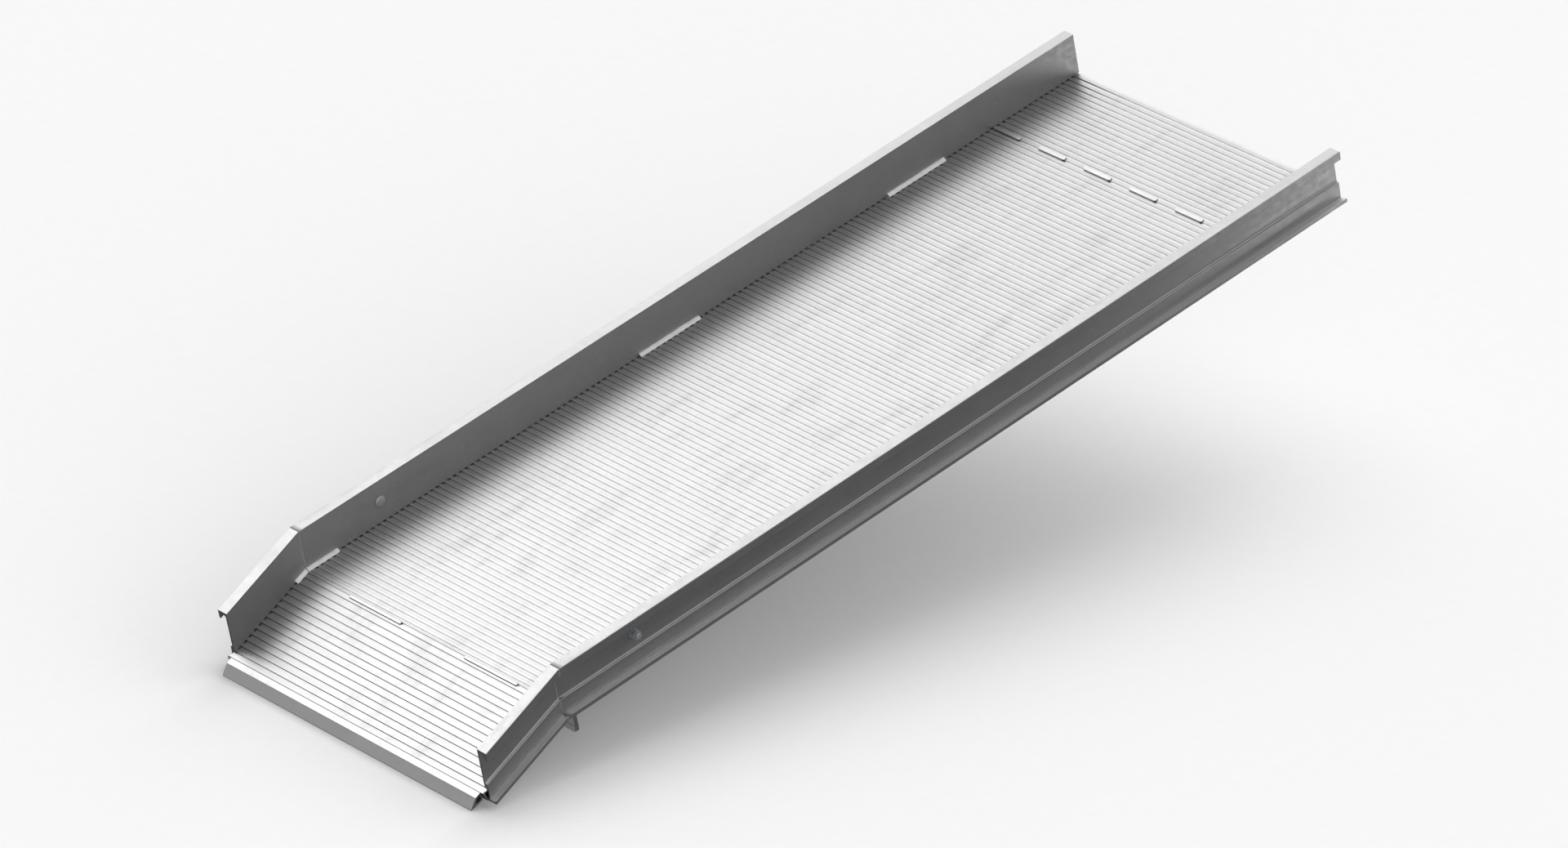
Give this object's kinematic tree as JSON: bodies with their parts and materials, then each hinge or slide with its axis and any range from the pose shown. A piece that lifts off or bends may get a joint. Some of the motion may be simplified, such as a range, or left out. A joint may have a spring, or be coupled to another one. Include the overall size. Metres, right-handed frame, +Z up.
{
  "type": "folding loading ramp",
  "caption": "Ribbed aluminium loading ramp between flanged side rails, with a short bevelled flap past the bend that folds under the deck, and a hook bar below the bend.",
  "frame": {"origin": "middle of the flap's front bottom edge, where it touches the ground", "axes": "+X runs up the ramp from the flap to the long end, +Y across the ramp, +Z up, with the ramp standing as in use: flap edge on the ground, deck rising 11.84 degrees"},
  "size_m": [2.3675, 0.826, 0.7004],
  "materials": {
    "rail_aluminium": "mill finish, lightly brushed",
    "deck_aluminium": "mill finish, worn and mottled",
    "weld_aluminium": "as welded",
    "zinc_steel": "zinc plated"
  },
  "bodies": {
    "main_ramp": {"main_rail_far": "rail_aluminium", "main_rail_near": "rail_aluminium", "fold_edge_main": "deck_aluminium", "deck_plank_01": "deck_aluminium", "deck_plank_02": "deck_aluminium", "deck_plank_03": "deck_aluminium", "deck_plank_04": "deck_aluminium", "deck_plank_05": "deck_aluminium", "deck_plank_06": "deck_aluminium", "deck_plank_07": "deck_aluminium", "deck_plank_08": "deck_aluminium", "deck_plank_09": "deck_aluminium", "deck_plank_10": "deck_aluminium", "deck_plank_11": "deck_aluminium", "deck_plank_12": "deck_aluminium", "deck_plank_13": "deck_aluminium", "deck_plank_14": "deck_aluminium", "deck_plank_15": "deck_aluminium", "deck_plank_16": "deck_aluminium", "deck_plank_17": "deck_aluminium", "end_crossmember": "rail_aluminium", "hook_bar": "rail_aluminium", "hinge_ears_main": "rail_aluminium", "hinge_pins": "zinc_steel", "pin_washers": "zinc_steel", "split_pins": "zinc_steel", "carriage_bolts": "zinc_steel", "bolt_washers": "zinc_steel", "lock_nuts": "zinc_steel", "deck_slot_welds": "weld_aluminium", "rail_stitch_welds": "weld_aluminium", "hook_bar_weld": "weld_aluminium", "crossmember_welds": "weld_aluminium"},
    "flap": {"flap_rail_far": "rail_aluminium", "flap_rail_near": "rail_aluminium", "flap_plank_upper": "deck_aluminium", "flap_plank_lower": "deck_aluminium", "toe_plate": "deck_aluminium", "hinge_ears_flap": "rail_aluminium", "fold_slot_welds": "weld_aluminium", "flap_stitch_welds": "weld_aluminium", "toe_seam_weld": "weld_aluminium"}
  },
  "joints": [
    {"name": "flap_fold", "type": "hinge", "parent": "main_ramp", "child": "flap", "pos_m": [0.2362, 0, 0.09857], "axis": [0, -1, 0], "range_deg": [0, 158]}
  ]
}
